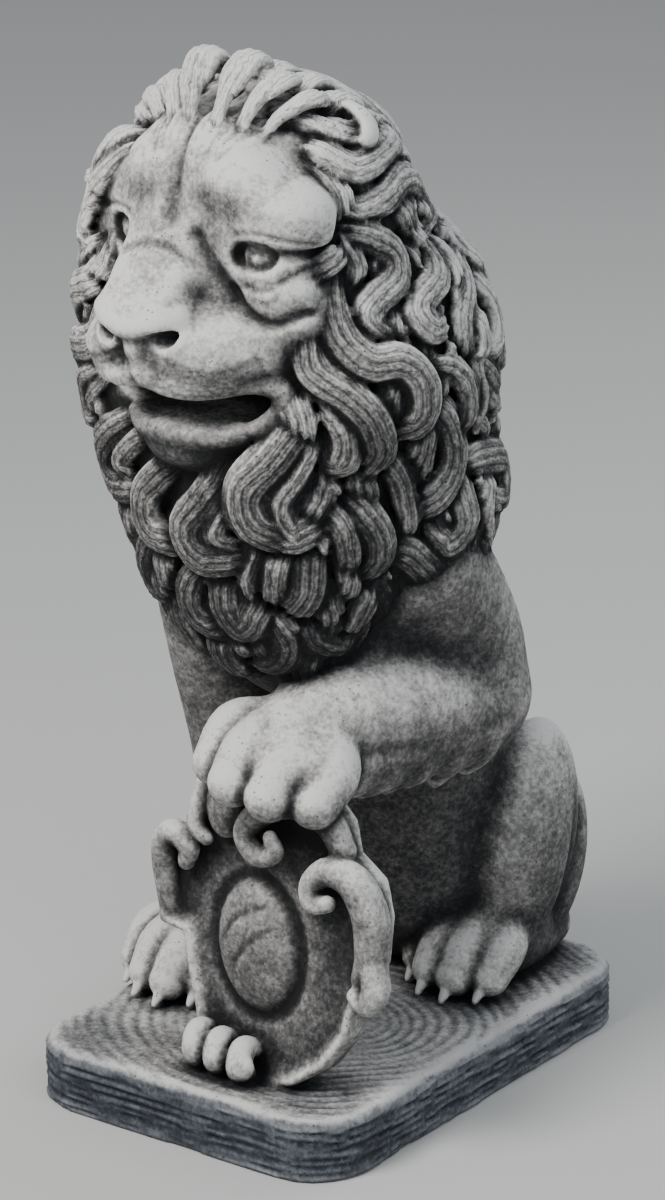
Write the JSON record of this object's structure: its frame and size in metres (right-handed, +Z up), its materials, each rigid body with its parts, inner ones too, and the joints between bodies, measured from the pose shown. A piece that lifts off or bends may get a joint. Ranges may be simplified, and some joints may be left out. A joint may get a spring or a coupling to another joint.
{
  "type": "lion garden statue",
  "caption": "Seated lion in grey cast stone with a curly mane, one forepaw raised on a scrolled shield, made in one with its plinth.",
  "frame": {"origin": "centre of the plinth's underside", "axes": "+Z up, the lion faces -Y, its left side with the raised paw is +X"},
  "size_m": [0.2838, 0.3997, 0.7479],
  "materials": {
    "cast_stone": "weathered matt"
  },
  "bodies": {
    "root": {"lion_statue": "cast_stone"}
  },
  "joints": []
}
